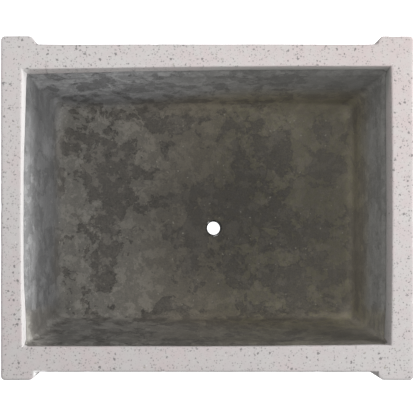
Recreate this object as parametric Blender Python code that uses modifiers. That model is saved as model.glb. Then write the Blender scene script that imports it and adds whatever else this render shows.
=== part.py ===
"""Terrazzo bonsai trough: a speckled cast facing over a wired cement core, with a brushed lining.

Units are metres. +X runs along the long side, +Y to the rear, +Z up. The origin is on the ground
plane, under the middle of the pot.
"""

import math

import bmesh
import bpy
from mathutils import Vector

# Overall size
LENGTH = 0.480
WIDTH = 0.400
HEIGHT = 0.180

# Corner pilasters: they stand proud of the two long sides and run down into the feet
PILASTER_WIDTH = 0.039
PILASTER_PROJECTION = 0.0095
FOOT_DEPTH = 0.048
FOOT_HEIGHT = 0.018
FOOT_GAP_RADIUS = 0.010
EDGE_RADIUS = 0.0025

# Opening at the rim, and the tapered inside of the trough
OPENING_LENGTH = 0.4305
OPENING_WIDTH = 0.3260
INNER_DEPTH = 0.138
WALL_BATTER = 0.026
FLOOR_RADIUS = 0.020
CORNER_RADIUS = 0.0015

# Layers, from the outside in
FACING_THICKNESS = 0.010
FACING_BASE = 0.008
LIP_HEIGHT = 0.024
LINING_THICKNESS = 0.002
LINING_EDGE_DEPTH = 0.016
GAP = 0.0003

# Drain hole, cast a little off the middle of the floor
DRAIN_X = 0.012
DRAIN_Y = -0.021
DRAIN_RADIUS = 0.0085
SLEEVE_WALL = 0.0015

# Reinforcing wire, laid in channels in the core's outer faces
WIRE_DIAMETER = 0.0025
WIRE_BEND_RADIUS = 0.008
OUTER_LAYER_DEPTH = 0.5 * WIRE_DIAMETER + GAP
INNER_LAYER_DEPTH = OUTER_LAYER_DEPTH + WIRE_DIAMETER + 2 * GAP
STIRRUP_TOP_COVER = 0.008
HOOP_HEIGHTS = {"low": 0.052, "middle": 0.096, "top": 0.140}
CROSS_STIRRUP_X = (-0.150, -0.050, 0.050, 0.150)
LONG_STIRRUP_Y = (-0.090, 0.0, 0.090)

# How far a cutter runs past the faces that it opens
OVERSHOOT = 0.010
ARC_SEGMENTS = 4
EDGE_SEGMENTS = 2
ROUND_SIDES = 32
WIRE_RESOLUTION = 2
SHARP_ANGLE = math.radians(40)

# Heights that follow from the above
FLOOR_Z = HEIGHT - INNER_DEPTH
CORE_BOTTOM = FOOT_HEIGHT + FACING_BASE + GAP
CORE_TOP = HEIGHT - LIP_HEIGHT - GAP
CORE_HALF_X = LENGTH / 2 - FACING_THICKNESS - GAP
CORE_HALF_Y = WIDTH / 2 - PILASTER_PROJECTION - FACING_THICKNESS - GAP


def new_collection(name):
    collection = bpy.data.collections.new(name)
    bpy.context.scene.collection.children.link(collection)
    return collection


def clear_scene():
    for obj in list(bpy.data.objects):
        bpy.data.objects.remove(obj, do_unlink=True)


def material(name, color, roughness, metallic=0.0):
    mat = bpy.data.materials.new(name)
    mat.use_nodes = True
    shader = mat.node_tree.nodes["Principled BSDF"]
    shader.inputs["Base Color"].default_value = (*color, 1.0)
    shader.inputs["Roughness"].default_value = roughness
    shader.inputs["Metallic"].default_value = metallic
    return mat


def as_cutter(obj):
    """A cutter only shapes other objects, so it is hidden and drawn as wire."""
    obj.hide_render = True
    obj.display_type = "WIRE"
    return obj


def mesh_object(name, bm, collection):
    mesh = bpy.data.meshes.new(name)
    bmesh.ops.recalc_face_normals(bm, faces=bm.faces)
    bm.to_mesh(mesh)
    bm.free()
    obj = bpy.data.objects.new(name, mesh)
    collection.objects.link(obj)
    return obj


def box(name, low, high, collection):
    """A box between two corners, with its scale in the mesh."""
    low, high = Vector(low), Vector(high)
    bm = bmesh.new()
    bmesh.ops.create_cube(bm, size=1.0)
    bmesh.ops.scale(bm, vec=high - low, verts=bm.verts)
    obj = mesh_object(name, bm, collection)
    obj.location = (low + high) / 2
    return obj


def round_edges_along(obj, axis, radius):
    """Round the edges of a box that run along one axis (0, 1 or 2)."""
    mesh = obj.data
    weights = mesh.attributes.new("bevel_weight_edge", "FLOAT", "EDGE")
    for edge in mesh.edges:
        start, end = (mesh.vertices[i].co for i in edge.vertices)
        weights.data[edge.index].value = float(abs(start[axis] - end[axis]) > radius)
    bevel = obj.modifiers.new("rounding", "BEVEL")
    bevel.limit_method = "WEIGHT"
    bevel.width = radius
    bevel.segments = ARC_SEGMENTS
    return obj


def cylinder(name, radius, low_z, high_z, center_xy, collection):
    bm = bmesh.new()
    bmesh.ops.create_cone(
        bm, cap_ends=True, segments=ROUND_SIDES, radius1=radius, radius2=radius, depth=high_z - low_z
    )
    obj = mesh_object(name, bm, collection)
    obj.location = (*center_xy, (low_z + high_z) / 2)
    return obj


def cut(obj, cutter, label):
    boolean = obj.modifiers.new(label, "BOOLEAN")
    boolean.operation = "DIFFERENCE"
    boolean.solver = "EXACT"
    boolean.object = cutter


def tub_block(name, offset, top_z, collection):
    """The tapered space inside the trough as a solid, grown outwards by an offset.

    The side faces lean in towards the floor. The floor's edges have a large radius and the
    upright corners a small one, both grown by the same offset.
    """
    batter = WALL_BATTER / INNER_DEPTH
    floor_z = FLOOR_Z - offset
    bm = bmesh.new()
    bmesh.ops.create_cube(bm, size=1.0)
    for vert in bm.verts:
        z = top_z if vert.co.z > 0 else floor_z
        lean = batter * (HEIGHT - z) - offset + LINING_THICKNESS + GAP
        half_x = OPENING_LENGTH / 2 - lean
        half_y = OPENING_WIDTH / 2 - lean
        vert.co = (math.copysign(half_x, vert.co.x), math.copysign(half_y, vert.co.y), z)
    weight = bm.edges.layers.float.new("bevel_weight_edge")
    floor_radius = FLOOR_RADIUS + offset
    middle_z = (floor_z + top_z) / 2
    for edge in bm.edges:
        ends_above = [vert.co.z > middle_z for vert in edge.verts]
        if not any(ends_above):
            edge[weight] = 1.0
        elif not all(ends_above):
            edge[weight] = (CORNER_RADIUS + offset) / floor_radius
    obj = mesh_object(name, bm, collection)
    bevel = obj.modifiers.new("rounding", "BEVEL")
    bevel.limit_method = "WEIGHT"
    bevel.width = floor_radius
    bevel.segments = ARC_SEGMENTS
    return obj


def frame_cutter(name, axis, position, hole_low, hole_high, hole_radius, collection):
    """A flat picture frame that cuts a wire's channel into the core's outer faces.

    It lies across one axis at a position. Its outside runs past the core, and its rounded hole
    leaves the core whole inside the channel.
    """
    half = 0.5 * WIRE_DIAMETER + GAP
    outer_low = [-CORE_HALF_X - OVERSHOOT, -CORE_HALF_Y - OVERSHOOT, CORE_BOTTOM - OVERSHOOT]
    outer_high = [CORE_HALF_X + OVERSHOOT, CORE_HALF_Y + OVERSHOOT, CORE_TOP + 2 * OVERSHOOT]
    outer_low[axis] = position - half
    outer_high[axis] = position + half
    frame = as_cutter(box(name, outer_low, outer_high, collection))
    hole_low, hole_high = list(hole_low), list(hole_high)
    hole_low[axis] = position - half - OVERSHOOT
    hole_high[axis] = position + half + OVERSHOOT
    hole = as_cutter(box(name + "_hole", hole_low, hole_high, collection))
    round_edges_along(hole, axis, hole_radius)
    cut(frame, hole, "hole")
    return frame


def rounded_path(corners, radius, closed):
    """Points along straight runs between corners, with an arc of one radius at each bend."""
    corners = [Vector(corner) for corner in corners]
    count = len(corners)
    points = []
    for i, corner in enumerate(corners):
        if not closed and i in (0, count - 1):
            points.append(corner)
            continue
        to_last = (corners[i - 1] - corner).normalized()
        to_next = (corners[(i + 1) % count] - corner).normalized()
        center = corner + (to_last + to_next) * radius
        for step in range(ARC_SEGMENTS + 1):
            angle = 0.5 * math.pi * step / ARC_SEGMENTS
            points.append(center - (to_next * math.cos(angle) + to_last * math.sin(angle)) * radius)
    return points


def wire(name, points, closed, collection):
    """A bent steel wire, as a curve with a round bevel."""
    curve = bpy.data.curves.new(name, "CURVE")
    curve.dimensions = "3D"
    curve.bevel_depth = 0.5 * WIRE_DIAMETER
    curve.bevel_resolution = WIRE_RESOLUTION
    curve.use_fill_caps = not closed
    spline = curve.splines.new("POLY")
    spline.points.add(len(points) - 1)
    for point, position in zip(spline.points, points):
        point.co = (*position, 1.0)
    spline.use_cyclic_u = closed
    obj = bpy.data.objects.new(name, curve)
    collection.objects.link(obj)
    return obj


def build_facing(parts, cutters):
    """The speckled casting: pilasters, feet, walls, base layer, rim and lip."""
    facing = box("terrazzo_facing", (-LENGTH / 2, -WIDTH / 2, 0), (LENGTH / 2, WIDTH / 2, HEIGHT), parts)
    between_posts = LENGTH / 2 - PILASTER_WIDTH
    wall_y = WIDTH / 2 - PILASTER_PROJECTION
    for side, label in ((-1, "front"), (1, "rear")):
        inner, outer = side * wall_y, side * (WIDTH / 2 + OVERSHOOT)
        recess = box(
            f"{label}_recess",
            (-between_posts, min(inner, outer), -OVERSHOOT),
            (between_posts, max(inner, outer), HEIGHT + OVERSHOOT),
            cutters,
        )
        cut(facing, as_cutter(recess), f"{label} recess")
    long_gap = box(
        "long_side_foot_gap",
        (-between_posts, -WIDTH / 2 - OVERSHOOT, -FOOT_HEIGHT),
        (between_posts, WIDTH / 2 + OVERSHOOT, FOOT_HEIGHT),
        cutters,
    )
    cut(facing, round_edges_along(as_cutter(long_gap), 1, FOOT_GAP_RADIUS), "gap under the long sides")
    between_feet = WIDTH / 2 - FOOT_DEPTH
    end_gap = box(
        "end_foot_gap",
        (-LENGTH / 2 - OVERSHOOT, -between_feet, -FOOT_HEIGHT),
        (LENGTH / 2 + OVERSHOOT, between_feet, FOOT_HEIGHT),
        cutters,
    )
    cut(facing, round_edges_along(as_cutter(end_gap), 0, FOOT_GAP_RADIUS), "gap under the ends")
    rounding = facing.modifiers.new("worn edges", "BEVEL")
    rounding.limit_method = "ANGLE"
    rounding.angle_limit = SHARP_ANGLE
    rounding.width = EDGE_RADIUS
    rounding.segments = EDGE_SEGMENTS
    core_space = box(
        "core_space",
        (-CORE_HALF_X - GAP, -CORE_HALF_Y - GAP, CORE_BOTTOM - GAP),
        (CORE_HALF_X + GAP, CORE_HALF_Y + GAP, CORE_TOP + GAP),
        cutters,
    )
    cut(facing, as_cutter(core_space), "space for the core")
    facing.data.materials.append(material("terrazzo", (0.60, 0.56, 0.55), 0.75))
    return facing


def build_core(parts, cutters):
    """The grey cement backing, with open channels for the wires in its outer faces."""
    low = (-CORE_HALF_X, -CORE_HALF_Y, CORE_BOTTOM)
    high = (CORE_HALF_X, CORE_HALF_Y, CORE_TOP)
    core = box("cement_core", low, high, parts)
    outer = OUTER_LAYER_DEPTH + 0.5 * WIRE_DIAMETER + GAP
    inner = INNER_LAYER_DEPTH + 0.5 * WIRE_DIAMETER + GAP
    bend_radius = WIRE_BEND_RADIUS - 0.5 * WIRE_DIAMETER - GAP
    above = CORE_TOP + OVERSHOOT
    hoop_low = (-CORE_HALF_X + outer, -CORE_HALF_Y + outer, 0)
    hoop_high = (CORE_HALF_X - outer, CORE_HALF_Y - outer, 0)
    cross_low = (0, -CORE_HALF_Y + inner, CORE_BOTTOM + outer)
    cross_high = (0, CORE_HALF_Y - inner, above)
    long_low = (-CORE_HALF_X + inner, 0, CORE_BOTTOM + inner)
    long_high = (CORE_HALF_X - inner, 0, above)
    frames = []
    for label, z in HOOP_HEIGHTS.items():
        name = f"hoop_channel_{label}"
        frames.append(frame_cutter(name, 2, z, hoop_low, hoop_high, bend_radius, cutters))
    for number, x in enumerate(CROSS_STIRRUP_X, 1):
        name = f"cross_channel_{number}"
        frames.append(frame_cutter(name, 0, x, cross_low, cross_high, bend_radius, cutters))
    for number, y in enumerate(LONG_STIRRUP_Y, 1):
        name = f"long_channel_{number}"
        frames.append(frame_cutter(name, 1, y, long_low, long_high, bend_radius, cutters))
    for frame in frames:
        cut(core, frame, frame.name)
    core.data.materials.append(material("grey_cement", (0.34, 0.34, 0.33), 0.9))
    return core


def build_lining(parts):
    """The thin brushed coat over the walls and floor of the inside."""
    lining = tub_block("slurry_lining", LINING_THICKNESS, HEIGHT - LINING_EDGE_DEPTH, parts)
    lining.data.materials.append(material("dark_slurry", (0.085, 0.078, 0.062), 0.7))
    return lining


def build_sleeve(parts, cutters):
    """The short tube that forms the drain hole, from the underside to the top of the lining."""
    low_z = FOOT_HEIGHT + GAP
    high_z = FLOOR_Z - GAP
    center = (DRAIN_X, DRAIN_Y)
    sleeve = cylinder("drain_sleeve", DRAIN_RADIUS + SLEEVE_WALL, low_z, high_z, center, parts)
    bore = cylinder("drain_bore", DRAIN_RADIUS, low_z - OVERSHOOT, high_z + OVERSHOOT, center, cutters)
    cut(sleeve, as_cutter(bore), "bore")
    sleeve.data.shade_smooth()
    sleeve.data.set_sharp_from_angle(angle=SHARP_ANGLE)
    sleeve.data.materials.append(material("black_pipe", (0.02, 0.02, 0.02), 0.55))
    return sleeve


def build_wires(parts):
    """Three hoops around the walls, and the U-shaped stirrups under the floor."""
    hoop_x = CORE_HALF_X - OUTER_LAYER_DEPTH
    hoop_y = CORE_HALF_Y - OUTER_LAYER_DEPTH
    stirrup_top = CORE_TOP - STIRRUP_TOP_COVER
    wires = []
    for label, z in HOOP_HEIGHTS.items():
        corners = [(-hoop_x, -hoop_y, z), (hoop_x, -hoop_y, z), (hoop_x, hoop_y, z), (-hoop_x, hoop_y, z)]
        wires.append(wire(f"hoop_{label}", rounded_path(corners, WIRE_BEND_RADIUS, True), True, parts))
    leg_y = CORE_HALF_Y - INNER_LAYER_DEPTH
    low_z = CORE_BOTTOM + OUTER_LAYER_DEPTH
    for number, x in enumerate(CROSS_STIRRUP_X, 1):
        corners = [(x, -leg_y, stirrup_top), (x, -leg_y, low_z), (x, leg_y, low_z), (x, leg_y, stirrup_top)]
        wires.append(
            wire(f"cross_stirrup_{number}", rounded_path(corners, WIRE_BEND_RADIUS, False), False, parts)
        )
    leg_x = CORE_HALF_X - INNER_LAYER_DEPTH
    low_z = CORE_BOTTOM + INNER_LAYER_DEPTH
    for number, y in enumerate(LONG_STIRRUP_Y, 1):
        corners = [(-leg_x, y, stirrup_top), (-leg_x, y, low_z), (leg_x, y, low_z), (leg_x, y, stirrup_top)]
        wires.append(
            wire(f"long_stirrup_{number}", rounded_path(corners, WIRE_BEND_RADIUS, False), False, parts)
        )
    for obj in wires:
        obj.data.materials.append(material(f"{obj.name}_steel", (0.35, 0.33, 0.31), 0.5, 1.0))


def open_inside(facing, core, lining, cutters):
    """Cut the tapered space and the drain hole through the layers."""
    shared = as_cutter(tub_block("space_behind_lining", LINING_THICKNESS + GAP, HEIGHT + OVERSHOOT, cutters))
    inside = as_cutter(tub_block("inside_space", 0.0, HEIGHT + OVERSHOOT, cutters))
    sleeve_radius = DRAIN_RADIUS + SLEEVE_WALL + GAP
    center = (DRAIN_X, DRAIN_Y)
    drain = cylinder("drain_hole", sleeve_radius, 0.0, FLOOR_Z + OVERSHOOT, center, cutters)
    as_cutter(drain)
    cut(facing, shared, "opening")
    cut(core, shared, "inside")
    cut(lining, inside, "inside")
    for obj in (facing, core, lining):
        cut(obj, drain, "drain hole")


def main():
    clear_scene()
    parts = new_collection("bonsai_pot")
    cutters = new_collection("cutters")
    facing = build_facing(parts, cutters)
    core = build_core(parts, cutters)
    lining = build_lining(parts)
    build_sleeve(parts, cutters)
    build_wires(parts)
    open_inside(facing, core, lining, cutters)


main()
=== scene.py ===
"""The looks of a terrazzo bonsai trough: its casting, brushed inner coat, drain pipe and studio.

Units are metres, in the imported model's frame: +X along the long side, +Y to the rear, +Z up.
"""

import math

import bpy
import numpy as np
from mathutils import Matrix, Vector, noise


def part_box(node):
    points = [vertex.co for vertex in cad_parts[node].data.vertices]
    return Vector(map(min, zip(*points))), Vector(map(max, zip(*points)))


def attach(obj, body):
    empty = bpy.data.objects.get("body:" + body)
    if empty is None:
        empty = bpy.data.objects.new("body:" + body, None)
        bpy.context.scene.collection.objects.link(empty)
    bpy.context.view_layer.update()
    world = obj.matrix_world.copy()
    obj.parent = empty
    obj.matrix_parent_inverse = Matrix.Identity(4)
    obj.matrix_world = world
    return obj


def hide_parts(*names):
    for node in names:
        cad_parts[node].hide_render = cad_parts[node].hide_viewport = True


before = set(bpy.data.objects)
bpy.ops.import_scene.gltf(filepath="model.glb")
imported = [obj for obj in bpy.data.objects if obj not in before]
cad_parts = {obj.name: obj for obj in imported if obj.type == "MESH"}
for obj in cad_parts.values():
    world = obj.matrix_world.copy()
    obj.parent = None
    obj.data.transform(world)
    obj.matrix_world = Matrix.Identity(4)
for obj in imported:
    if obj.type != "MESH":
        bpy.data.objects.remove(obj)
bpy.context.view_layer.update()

# Overall size and the hidden core, from the frame, and the gap that pieces keep between them
HALF_LENGTH, HALF_WIDTH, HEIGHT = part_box("terrazzo_facing")[1]
CORE_LOW, CORE_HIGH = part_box("cement_core")
SLEEVE_LOW, SLEEVE_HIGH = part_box("drain_sleeve")
GAP = 0.0003

# The casting's outside: a pilaster's width is taken halfway up its slanted side
PILASTER_WIDTH = 0.039
PILASTER_PROJECTION = 0.0095
FOOT_DEPTH = 0.048
FOOT_HEIGHT = 0.018
FOOT_FILLET = 0.010
OUTER_ARRIS = 0.0022
CORNER_RADIUS = 0.0045
PILASTER_ARRIS = 0.0022
PILASTER_FILLET = 0.0012
PILASTER_SLANT = math.radians(38.0)
RIGHT_PILASTER_EXTRA = 0.0022
RIM_ARRIS = 0.0014

# The tapered inside: the opening in the rim, the lip's lattice, the lean and the coat
HALF_OPENING_X = 0.21525
HALF_OPENING_Y = 0.1630
HALF_LIP_X = 0.2150
HALF_LIP_Y = 0.1625
WALL_LEAN = 0.026 / 0.138
FLOOR_Z = 0.042
FLOOR_FILLET = 0.022
COAT_THICKNESS = 0.0023
COAT_EDGE_THICKNESS = 0.0005

# The drain, from the sleeve's own box, in a shallow dish of the floor
DRAIN = Vector(((SLEEVE_LOW.x + SLEEVE_HIGH.x) / 2, (SLEEVE_LOW.y + SLEEVE_HIGH.y) / 2))
PIPE_RADIUS = (SLEEVE_HIGH.x - SLEEVE_LOW.x) / 2
PIPE_WALL = 0.0015
DISH_DEPTH = 0.0006
DISH_REACH = 0.030
PIPE_TOP = FLOOR_Z - DISH_DEPTH - 0.0003


# ---------------------------------------------------------------- mesh helpers


def mesh_piece(name, points, faces, smooth_angle):
    """A mesh object from points and faces, smooth except where faces meet sharply."""
    mesh = bpy.data.meshes.new(name)
    mesh.from_pydata([tuple(p) for p in points], [], [tuple(f) for f in faces])
    mesh.validate()
    mesh.shade_smooth()
    mesh.set_sharp_from_angle(angle=math.radians(smooth_angle))
    piece = bpy.data.objects.new(name, mesh)
    bpy.context.scene.collection.objects.link(piece)
    return piece


def noise_at(points, size, seed):
    """Smooth noise from about -1 to 1 at each point, with features of a given size."""
    shift = Vector((seed * 7.31, seed * 3.17, seed * 5.23))
    return np.array([noise.noise(Vector(p) / size + shift) for p in points])


def noise_vectors(points, size, seed):
    """Smooth noise as above, with its own direction at each point."""
    shift = Vector((seed * 7.31, seed * 3.17, seed * 5.23))
    return np.array([noise.noise_vector(Vector(p) / size + shift) for p in points])


def smoothstep(low, high, value):
    """A value eased from 0 at the low end of a range to 1 at its high end."""
    t = np.clip((value - low) / (high - low), 0.0, 1.0)
    return t * t * (3.0 - 2.0 * t)


# ---------------------------------------------------------------- the opening's plan

# Where the opening's bow fades out below the lip, and how far each side strays
BOW_LOW, BOW_HIGH = 0.146, 0.176
LEAST_BOW = 0.2
LEFT_BOW = 0.0015
RIGHT_BOW = 0.0012
SIDE_DRIFT = 0.0014
REAR_SKEW = 0.0085
REAR_SAG = 0.0010
FRONT_RISE = 0.0020


def opening_sides(x, y, z):
    """Left, right, front and rear limits of the opening, as seen from a point.

    The rim was trimmed by hand, so its sides bow and drift by a millimetre or two. They are
    nearly straight below the lip.
    """
    share = LEAST_BOW + (1 - LEAST_BOW) * smoothstep(BOW_LOW, BOW_HIGH, z)
    bow = 1.0 - (y / 0.165) ** 2
    left = -HALF_OPENING_X - share * LEFT_BOW * bow
    right = HALF_OPENING_X - share * (SIDE_DRIFT - RIGHT_BOW * bow)
    rear = HALF_OPENING_Y + share * (SIDE_DRIFT + REAR_SKEW * x - REAR_SAG * (x / 0.2) ** 2)
    front = -HALF_OPENING_Y + share * (SIDE_DRIFT + FRONT_RISE * np.clip(x / 0.19, 0.0, 1.0) ** 2)
    return left, right, front, rear


def wall_offset(z):
    """How far the leaning inner walls stand in from the rim's opening at a height."""
    return WALL_LEAN * (HEIGHT - z)


# ---------------------------------------------------------------- the casting

# The lattice's lines: their distances from an edge that shows, their pitch elsewhere, the closest two
EDGE_STEPS = (0.0007, 0.0016, 0.0028, 0.0044)
WALL_PITCH = 0.0041
HEIGHT_PITCH = 0.0070
LEAST_STEP = 0.0004

# How near the rounded surface a point must be to be settled on it, farther beside the slanted pilasters
SETTLE_REACH = 0.0052
POST_SETTLE_REACH = 0.0085
POST_ZONE_X = 0.012
POST_ZONE_Y = 0.002
SETTLE_ROUNDS = 5
SLOPE_STEP = 2e-5

# Wear: how much the arrises vary, the spalls knocked out of them, and the ripple of the faces
ARRIS_VARIATION, RIM_VARIATION = 0.35, 0.18
SPALL_DEPTH, RIM_SPALL_DEPTH = 0.006, 0.002
SPALL_THRESHOLD = 0.42
BROAD_RIPPLE, FINE_RIPPLE = 0.00022, 0.00009


def lattice_lines(edges, hidden, pitch):
    """Lattice lines through all edges, close together beside those that show, else a pitch apart."""
    lines = sorted(edges + hidden)
    low, high = lines[0], lines[-1]
    for step in EDGE_STEPS:
        for edge in edges:
            for line in (edge - step, edge + step):
                if low < line < high and min(abs(line - other) for other in lines) > LEAST_STEP:
                    lines.append(line)
    lines.sort()
    filled = [low]
    for start, end in zip(lines, lines[1:]):
        count = max(1, math.ceil((end - start) / pitch - 0.01))
        filled += [start + (end - start) * i / count for i in range(1, count + 1)]
    return np.array(filled)


def lattice_shell(lines, solid):
    """The closed skin of quads around a lattice's solid cells, as points and faces."""
    counts = [len(axis) for axis in lines]
    padded = np.pad(solid, 1)
    corners = []
    for axis in range(3):
        u, v = (axis + 1) % 3, (axis + 2) % 3
        inner = tuple(slice(None) if a == axis else slice(1, -1) for a in range(3))
        cells = padded[inner].astype(np.int8)
        step = -np.diff(cells, axis=axis)
        for sign in (1, -1):
            at = np.argwhere(step == sign)
            quad = []
            for du, dv in ((0, 0), (1, 0), (1, 1), (0, 1)):
                corner = at.copy()
                corner[:, u] += du
                corner[:, v] += dv
                quad.append((corner[:, 0] * counts[1] + corner[:, 1]) * counts[2] + corner[:, 2])
            corners.append(np.stack(quad[::sign], axis=1))
    corners = np.concatenate(corners)
    used, faces = np.unique(corners, return_inverse=True)
    faces = faces.reshape(corners.shape)
    i, rest = np.divmod(used, counts[1] * counts[2])
    j, k = np.divmod(rest, counts[2])
    points = np.stack([lines[0][i], lines[1][j], lines[2][k]], axis=1)
    return points, faces


def round_and(radius, *fields):
    """What several fields share, with its outer edges rounded."""
    grown = sum(np.maximum(field + radius, 0.0) ** 2 for field in fields)
    return np.minimum(-radius, np.maximum.reduce(fields)) + np.sqrt(grown)


def round_or(radius, a, b):
    """Two fields together, with the inner edge between them filled to a radius."""
    grown = np.maximum(radius - a, 0.0) ** 2 + np.maximum(radius - b, 0.0) ** 2
    return np.maximum(radius, np.minimum(a, b)) - np.sqrt(grown)


def casting_field(points, arris, rim_arris):
    """Distance to the casting's rounded outside, lip included: negative inside the terrazzo."""
    x, y, z = points.T
    across, along = np.abs(x), np.abs(y)
    posts_x = HALF_LENGTH - PILASTER_WIDTH
    wall = along - (HALF_WIDTH - PILASTER_PROJECTION)
    middle = HALF_WIDTH - PILASTER_PROJECTION / 2
    side = posts_x - np.where(x > 0, RIGHT_PILASTER_EXTRA, 0.0)
    slanted = (side - across) * math.cos(PILASTER_SLANT) + (along - middle) * math.sin(PILASTER_SLANT)
    post = round_and(PILASTER_ARRIS, along - HALF_WIDTH, slanted)
    underside = FOOT_HEIGHT - z
    foot = round_and(OUTER_ARRIS, -z, posts_x - across, HALF_WIDTH - FOOT_DEPTH - along)
    plan = round_and(CORNER_RADIUS, across - HALF_LENGTH, round_or(PILASTER_FILLET, wall, post))
    block = round_and(arris, plan, z - HEIGHT, round_or(FOOT_FILLET, underside, foot))
    left, right, front, rear = opening_sides(x, y, z)
    lean = wall_offset(z)
    opening = np.maximum.reduce([x - right, left - x, y - rear, front - y]) + lean
    return round_and(rim_arris, block, -opening)


def settle(points, field):
    """Move points along the field's slope until they lie on its surface."""
    for _ in range(SETTLE_ROUNDS):
        value = field(points)
        slope = np.zeros_like(points)
        for axis in range(3):
            shift = np.zeros(3)
            shift[axis] = SLOPE_STEP
            slope[:, axis] = (field(points + shift) - field(points - shift)) / (2 * SLOPE_STEP)
        steep = np.maximum((slope**2).sum(axis=1), 0.25)
        points = points - (value / steep)[:, None] * slope
    return points


def follow_opening(points, half_x, half_y):
    """Shift the lattice's straight opening onto the bowed and leaning one."""
    x, y, z = points.T
    near_x, near_y = np.clip(x, -half_x, half_x), np.clip(y, -half_y, half_y)
    left, right, front, rear = opening_sides(near_x, near_y, z)
    lean = wall_offset(z)
    moved = points.copy()
    for axis, half, outer, low, high in (
        (0, half_x, HALF_LENGTH, left + lean, right - lean),
        (1, half_y, HALF_WIDTH, front + lean, rear - lean),
    ):
        value = points[:, axis]
        inside = np.where(value < 0, -low, high) / half
        scaled = value * inside
        target = np.where(value < 0, -low, high)
        outside = np.sign(value) * (outer - (outer - np.abs(value)) * (outer - target) / (outer - half))
        moved[:, axis] = np.where(np.abs(value) <= half, scaled, outside)
    return moved


def round_drain(points, half):
    """Turn the lattice's square drain hole into a round one."""
    offset = points[:, :2] - np.array(DRAIN)
    square = np.maximum(np.abs(offset).max(axis=1), 1e-9)
    distance = np.maximum(np.hypot(*offset.T), 1e-9)
    near = np.clip((2.2 - square / half) / 1.2, 0.0, 1.0)
    factor = 1.0 + near * (square / distance - 1.0)
    moved = points.copy()
    moved[:, :2] = np.array(DRAIN) + offset * factor[:, None]
    return moved


def build_casting():
    """The terrazzo casting: a lattice skin settled onto its rounded, slightly worn surface."""
    half_x, half_y = HALF_LIP_X, HALF_LIP_Y
    posts_x, feet_y = HALF_LENGTH - PILASTER_WIDTH, HALF_WIDTH - FOOT_DEPTH
    wall_y = HALF_WIDTH - PILASTER_PROJECTION
    core_x, core_y = CORE_HIGH.x + GAP, CORE_HIGH.y + GAP
    core_low, core_high = CORE_LOW.z - GAP, CORE_HIGH.z + GAP
    drain = PIPE_RADIUS + GAP
    x_edges = [s * v for v in (HALF_LENGTH, half_x, posts_x) for s in (-1, 1)]
    y_edges = [s * v for v in (HALF_WIDTH, wall_y, half_y, feet_y) for s in (-1, 1)]
    lines = [
        lattice_lines(x_edges + [DRAIN.x - drain, DRAIN.x + drain], [-core_x, core_x], WALL_PITCH),
        lattice_lines(y_edges + [DRAIN.y - drain, DRAIN.y + drain], [-core_y, core_y], WALL_PITCH),
        lattice_lines([0.0, FOOT_HEIGHT, HEIGHT], [core_low, core_high], HEIGHT_PITCH),
    ]
    x, y, z = np.meshgrid(*[(axis[1:] + axis[:-1]) / 2 for axis in lines], indexing="ij")
    across, along = np.abs(x), np.abs(y)
    solid = (along < wall_y) | (across > posts_x)
    solid &= (z > FOOT_HEIGHT) | ((across > posts_x) & (along > feet_y))
    solid &= ~((across < core_x) & (along < core_y) & (z > core_low) & (z < core_high))
    solid &= ~((across < half_x) & (along < half_y) & (z > core_high))
    solid &= ~((np.abs(x - DRAIN.x) < drain) & (np.abs(y - DRAIN.y) < drain) & (z < core_low))
    points, faces = lattice_shell(lines, solid)

    upper = points[:, 2] > (core_low + core_high) / 2
    hidden_x = np.abs(np.abs(points[:, 0]) - core_x) < GAP / 2
    hidden_y = np.abs(np.abs(points[:, 1]) - core_y) < GAP / 2
    at_lip = upper & (points[:, 2] > core_high - GAP / 2)
    held = (hidden_x | hidden_y) & (points[:, 2] < core_high + GAP / 2)
    moved = follow_opening(points, half_x, half_y)
    points = np.where((at_lip & ~held)[:, None], moved, points)
    low = points[:, 2] < core_low + GAP / 2
    points = np.where(low[:, None], round_drain(points, drain), points)

    worn = noise_at(points, 0.045, 1)
    spall = np.maximum(noise_at(points, 0.011, 2) - SPALL_THRESHOLD, 0.0)
    arris = OUTER_ARRIS * (1.0 + ARRIS_VARIATION * worn) + SPALL_DEPTH * spall
    rim_arris = RIM_ARRIS * (1.0 + RIM_VARIATION * worn) + RIM_SPALL_DEPTH * spall
    field = casting_field(points, arris, rim_arris)
    by_post = np.abs(np.abs(points[:, 0]) - posts_x) < POST_ZONE_X
    by_post &= np.abs(points[:, 1]) > wall_y - POST_ZONE_Y
    near = np.abs(field) < np.where(by_post, POST_SETTLE_REACH, SETTLE_REACH)
    near &= ~low | (np.hypot(*(points[:, :2] - np.array(DRAIN)).T) > 2 * drain)
    points[near] = settle(points[near], lambda p: casting_field(p, arris[near], rim_arris[near]))

    points += noise_vectors(points, 0.060, 3) * BROAD_RIPPLE + noise_vectors(points, 0.014, 4) * FINE_RIPPLE
    reach = np.array([HALF_LENGTH, HALF_WIDTH])
    points[:, :2] = np.clip(points[:, :2], -reach, reach)
    points[:, 2] = np.clip(points[:, 2], 0.0, HEIGHT)
    return mesh_piece("terrazzo_body", points, faces, 42)


casting = build_casting()
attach(casting, "root")
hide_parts("terrazzo_facing")


# ---------------------------------------------------------------- the brushed coat

SIDE_COUNT = 132
END_COUNT = 100
CORNER_STEPS = 6
WALL_RINGS = 44
FILLET_RINGS = 9
FLOOR_RINGS = 46
BACK_STEP = 3
TOP_CORNER, FOOT_CORNER, FLOOR_CORNER = 0.0015, 0.0115, 0.0195
EDGE_TAPER = 0.012


def ring_mesh(name, rings, smooth_angle):
    """A closed mesh through rings of points, joined round each ring and from the last to the first."""
    count, around = rings.shape[:2]
    i, j = np.meshgrid(np.arange(count), np.arange(around), indexing="ij")
    i_next, j_next = (i + 1) % count, (j + 1) % around
    row, next_row = i * around, i_next * around
    quads = np.stack([row + j, row + j_next, next_row + j_next, next_row + j], axis=-1)
    return mesh_piece(name, rings.reshape(-1, 3), quads.reshape(-1, 4), smooth_angle)


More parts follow.
